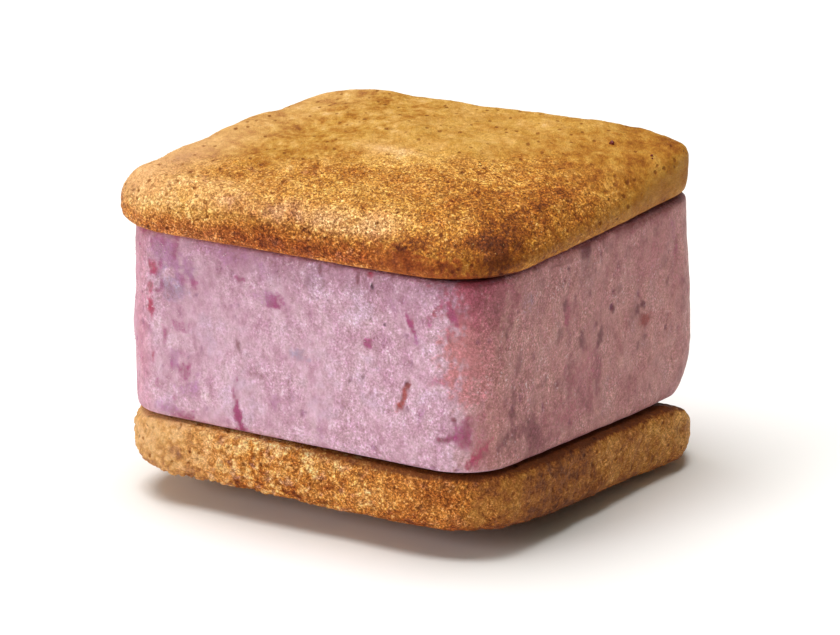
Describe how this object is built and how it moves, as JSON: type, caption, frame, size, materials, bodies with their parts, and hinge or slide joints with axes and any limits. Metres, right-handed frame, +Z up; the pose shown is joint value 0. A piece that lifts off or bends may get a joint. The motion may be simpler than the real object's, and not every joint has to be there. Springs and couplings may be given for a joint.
{
  "type": "butter sandwich cookie with berry ice cream",
  "caption": "Square ice cream sandwich: two rounded-square butter biscuits with a thick block of pink berry ice cream between them.",
  "frame": {"origin": "on the table, under the middle of the cookie's bounding box", "axes": "+Z up through the layers, -Y towards the cookie's front face, +X to its right"},
  "size_m": [0.0533, 0.0524, 0.0389],
  "materials": {
    "baked_biscuit": null,
    "berry_ice_cream": null
  },
  "bodies": {
    "root": {"top_biscuit": "baked_biscuit", "berry_filling": "berry_ice_cream", "bottom_biscuit": "baked_biscuit"}
  },
  "joints": []
}
